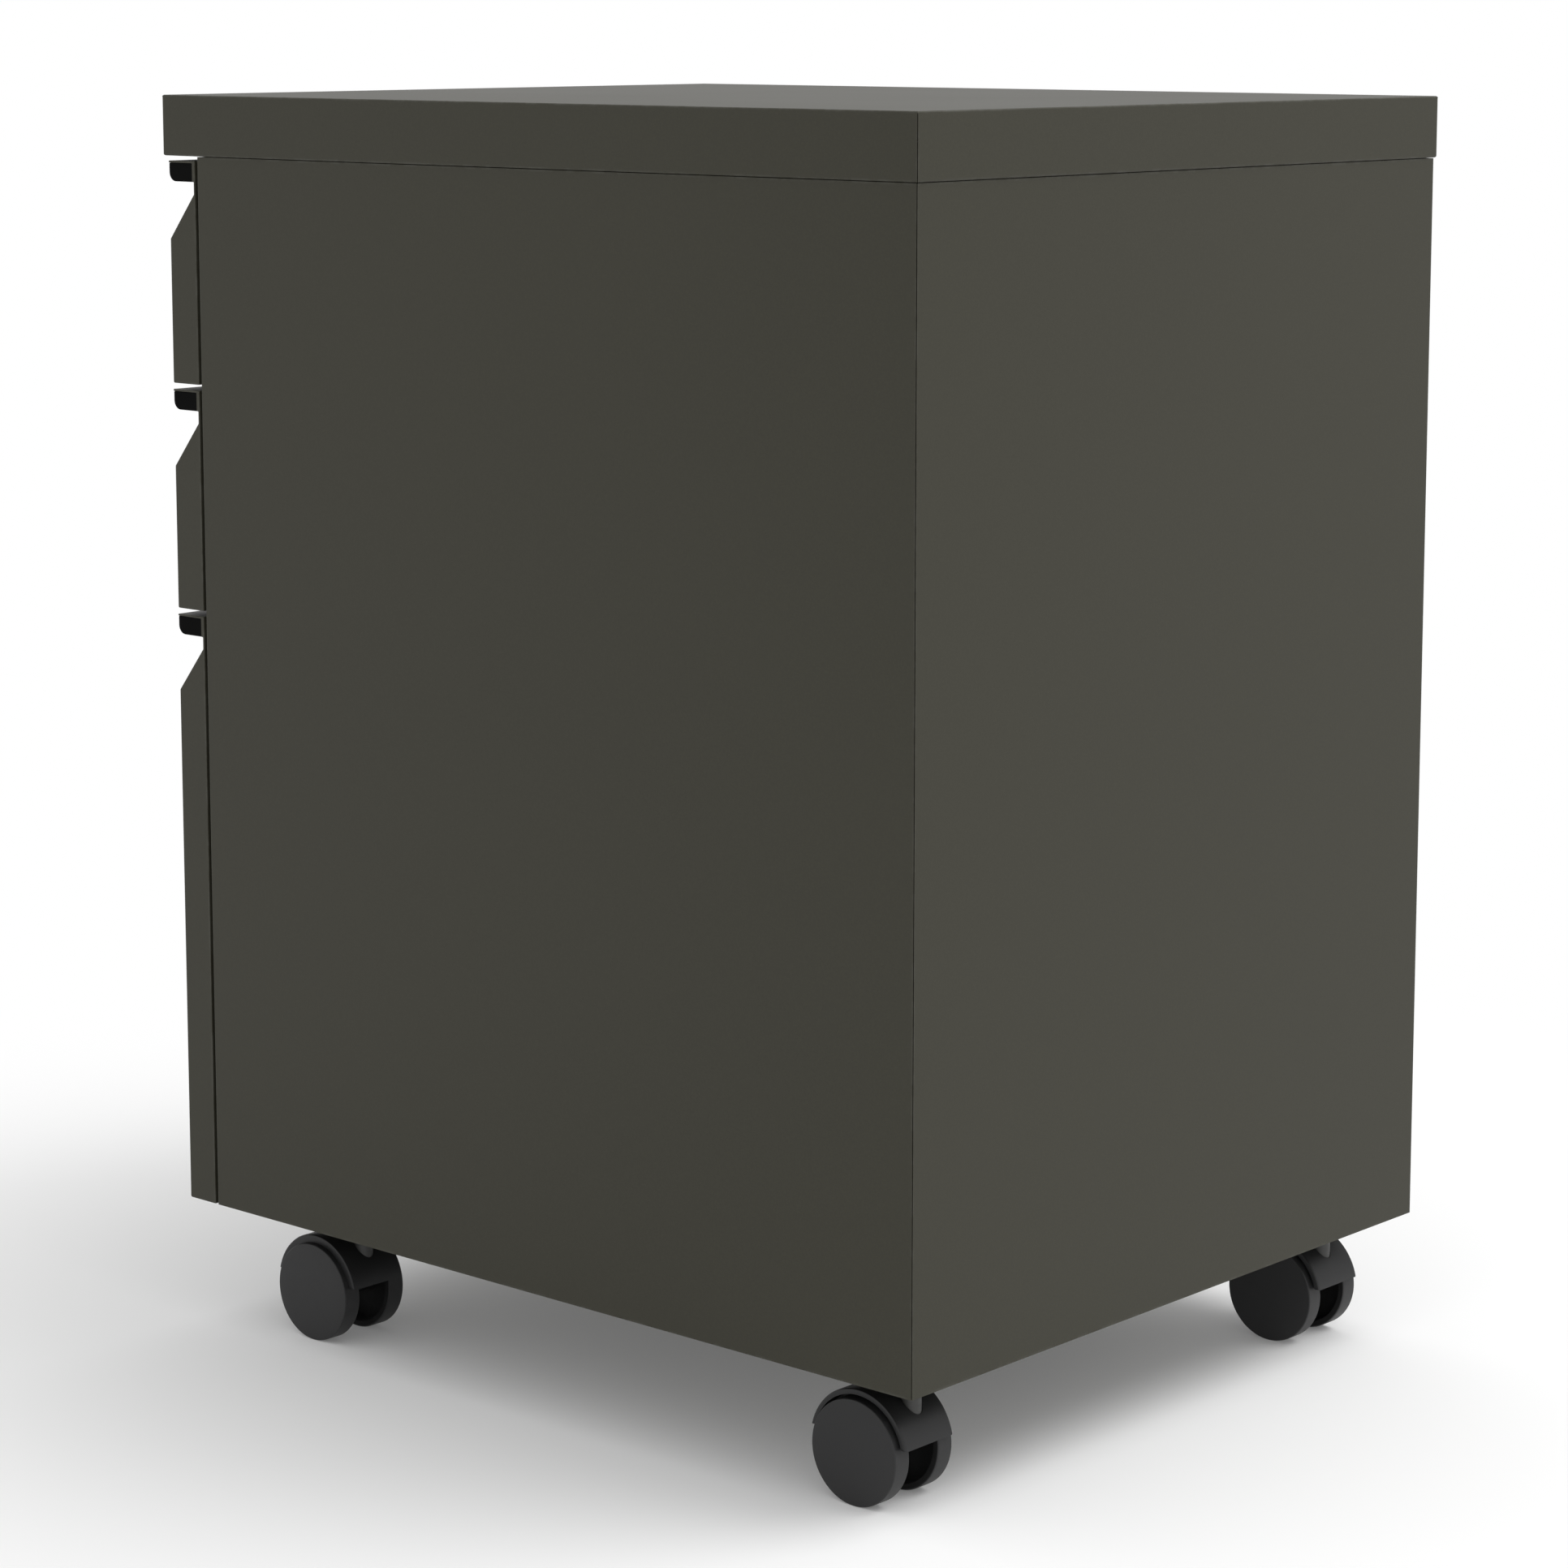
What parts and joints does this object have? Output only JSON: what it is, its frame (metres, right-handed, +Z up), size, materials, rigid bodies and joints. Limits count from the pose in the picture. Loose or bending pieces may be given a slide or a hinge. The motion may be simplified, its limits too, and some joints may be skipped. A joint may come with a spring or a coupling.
{
  "type": "filing cabinet",
  "caption": "Mobile steel pedestal filing cabinet with a thick folded top, shallow drawers over a deep file drawer, recessed full-width black pulls and swivel twin-wheel casters.",
  "frame": {"origin": "on the floor, under the centre of the top cap and of the whole bounding box", "axes": "+Z up; the drawers face -Y and open that way; +X is on the right of someone facing the drawers"},
  "size_m": [0.39, 0.4812, 0.618],
  "materials": {
    "grey_paint": "fine-textured matt powder coat",
    "pull_black": "satin moulded plastic",
    "hood_black": "fine-grained moulded nylon",
    "wheel_black": "smooth moulded nylon",
    "zinc": "bright zinc plate",
    "stem_steel": "dull turned steel",
    "bumper_rubber": "translucent grey elastomer"
  },
  "bodies": {
    "cabinet": {"top_cap": "grey_paint", "side_panel_left": "grey_paint", "side_panel_right": "grey_paint", "back_panel": "grey_paint", "base_pan": "grey_paint", "front_top_rail": "grey_paint", "caster_channel_front": "zinc", "caster_channel_rear": "zinc", "upper_runner_outer_left": "zinc", "upper_runner_outer_right": "zinc", "middle_runner_outer_left": "zinc", "middle_runner_outer_right": "zinc", "file_runner_outer_left": "zinc", "file_runner_outer_right": "zinc", "caster_front_left_stem": "stem_steel", "caster_front_right_stem": "stem_steel", "caster_rear_left_stem": "stem_steel", "caster_rear_right_stem": "stem_steel"},
    "drawer_upper": {"upper_front": "grey_paint", "upper_box": "grey_paint", "upper_pull": "pull_black", "upper_runner_inner_left": "zinc", "upper_runner_inner_right": "zinc", "upper_bumper_left": "bumper_rubber", "upper_bumper_right": "bumper_rubber"},
    "drawer_middle": {"middle_front": "grey_paint", "middle_box": "grey_paint", "middle_pull": "pull_black", "middle_runner_inner_left": "zinc", "middle_runner_inner_right": "zinc", "middle_bumper_left": "bumper_rubber", "middle_bumper_right": "bumper_rubber"},
    "drawer_file": {"file_front": "grey_paint", "file_box": "grey_paint", "file_pull": "pull_black", "file_runner_inner_left": "zinc", "file_runner_inner_right": "zinc", "file_bumper_left": "bumper_rubber", "file_bumper_right": "bumper_rubber", "file_hanger_rail_left": "zinc", "file_hanger_rail_right": "zinc"},
    "file_runner_middles": {"file_runner_middle_left": "zinc", "file_runner_middle_right": "zinc"},
    "caster_front_left": {"caster_front_left_hood": "hood_black", "caster_front_left_axle": "zinc"},
    "wheel_front_left_left": {"caster_front_left_wheel_left": "wheel_black"},
    "wheel_front_left_right": {"caster_front_left_wheel_right": "wheel_black"},
    "caster_front_right": {"caster_front_right_hood": "hood_black", "caster_front_right_axle": "zinc"},
    "wheel_front_right_left": {"caster_front_right_wheel_left": "wheel_black"},
    "wheel_front_right_right": {"caster_front_right_wheel_right": "wheel_black"},
    "caster_rear_left": {"caster_rear_left_hood": "hood_black", "caster_rear_left_axle": "zinc"},
    "wheel_rear_left_left": {"caster_rear_left_wheel_left": "wheel_black"},
    "wheel_rear_left_right": {"caster_rear_left_wheel_right": "wheel_black"},
    "caster_rear_right": {"caster_rear_right_hood": "hood_black", "caster_rear_right_axle": "zinc"},
    "wheel_rear_right_left": {"caster_rear_right_wheel_left": "wheel_black"},
    "wheel_rear_right_right": {"caster_rear_right_wheel_right": "wheel_black"}
  },
  "joints": [
    {"name": "drawer_upper_slide", "type": "slide", "parent": "cabinet", "child": "drawer_upper", "axis": [0, -1, 0], "range_m": [0, 0.3]},
    {"name": "drawer_middle_slide", "type": "slide", "parent": "cabinet", "child": "drawer_middle", "axis": [0, -1, 0], "range_m": [0, 0.3]},
    {"name": "drawer_file_slide", "type": "slide", "parent": "cabinet", "child": "drawer_file", "axis": [0, -1, 0], "range_m": [0, 0.4]},
    {"name": "drawer_file_runner_slide", "type": "slide", "parent": "cabinet", "child": "file_runner_middles", "axis": [0, -1, 0], "range_m": [0, 0.2]},
    {"name": "swivel_front_left", "type": "hinge", "parent": "cabinet", "child": "caster_front_left", "pos_m": [-0.159, -0.1473, 0.05], "axis": [0, 0, 1], "continuous": true},
    {"name": "swivel_front_right", "type": "hinge", "parent": "cabinet", "child": "caster_front_right", "pos_m": [0.159, -0.1473, 0.05], "axis": [0, 0, 1], "continuous": true},
    {"name": "swivel_rear_left", "type": "hinge", "parent": "cabinet", "child": "caster_rear_left", "pos_m": [-0.159, 0.2102, 0.05], "axis": [0, 0, 1], "continuous": true},
    {"name": "swivel_rear_right", "type": "hinge", "parent": "cabinet", "child": "caster_rear_right", "pos_m": [0.159, 0.2102, 0.05], "axis": [0, 0, 1], "continuous": true},
    {"name": "wheel_front_left_left_spin", "type": "hinge", "parent": "caster_front_left", "child": "wheel_front_left_left", "pos_m": [-0.174, -0.1645, 0.02463], "axis": [1, 0, 0], "continuous": true},
    {"name": "wheel_front_left_right_spin", "type": "hinge", "parent": "caster_front_left", "child": "wheel_front_left_right", "pos_m": [-0.144, -0.1645, 0.02463], "axis": [1, 0, 0], "continuous": true},
    {"name": "wheel_front_right_left_spin", "type": "hinge", "parent": "caster_front_right", "child": "wheel_front_right_left", "pos_m": [0.144, -0.1645, 0.02463], "axis": [1, 0, 0], "continuous": true},
    {"name": "wheel_front_right_right_spin", "type": "hinge", "parent": "caster_front_right", "child": "wheel_front_right_right", "pos_m": [0.174, -0.1645, 0.02463], "axis": [1, 0, 0], "continuous": true},
    {"name": "wheel_rear_left_left_spin", "type": "hinge", "parent": "caster_rear_left", "child": "wheel_rear_left_left", "pos_m": [-0.174, 0.193, 0.02463], "axis": [1, 0, 0], "continuous": true},
    {"name": "wheel_rear_left_right_spin", "type": "hinge", "parent": "caster_rear_left", "child": "wheel_rear_left_right", "pos_m": [-0.144, 0.193, 0.02463], "axis": [1, 0, 0], "continuous": true},
    {"name": "wheel_rear_right_left_spin", "type": "hinge", "parent": "caster_rear_right", "child": "wheel_rear_right_left", "pos_m": [0.144, 0.193, 0.02463], "axis": [1, 0, 0], "continuous": true},
    {"name": "wheel_rear_right_right_spin", "type": "hinge", "parent": "caster_rear_right", "child": "wheel_rear_right_right", "pos_m": [0.174, 0.193, 0.02463], "axis": [1, 0, 0], "continuous": true}
  ],
  "couplings": [
    {"joint": "drawer_file_runner_slide", "follows": "drawer_file_slide", "ratio": 0.5}
  ]
}
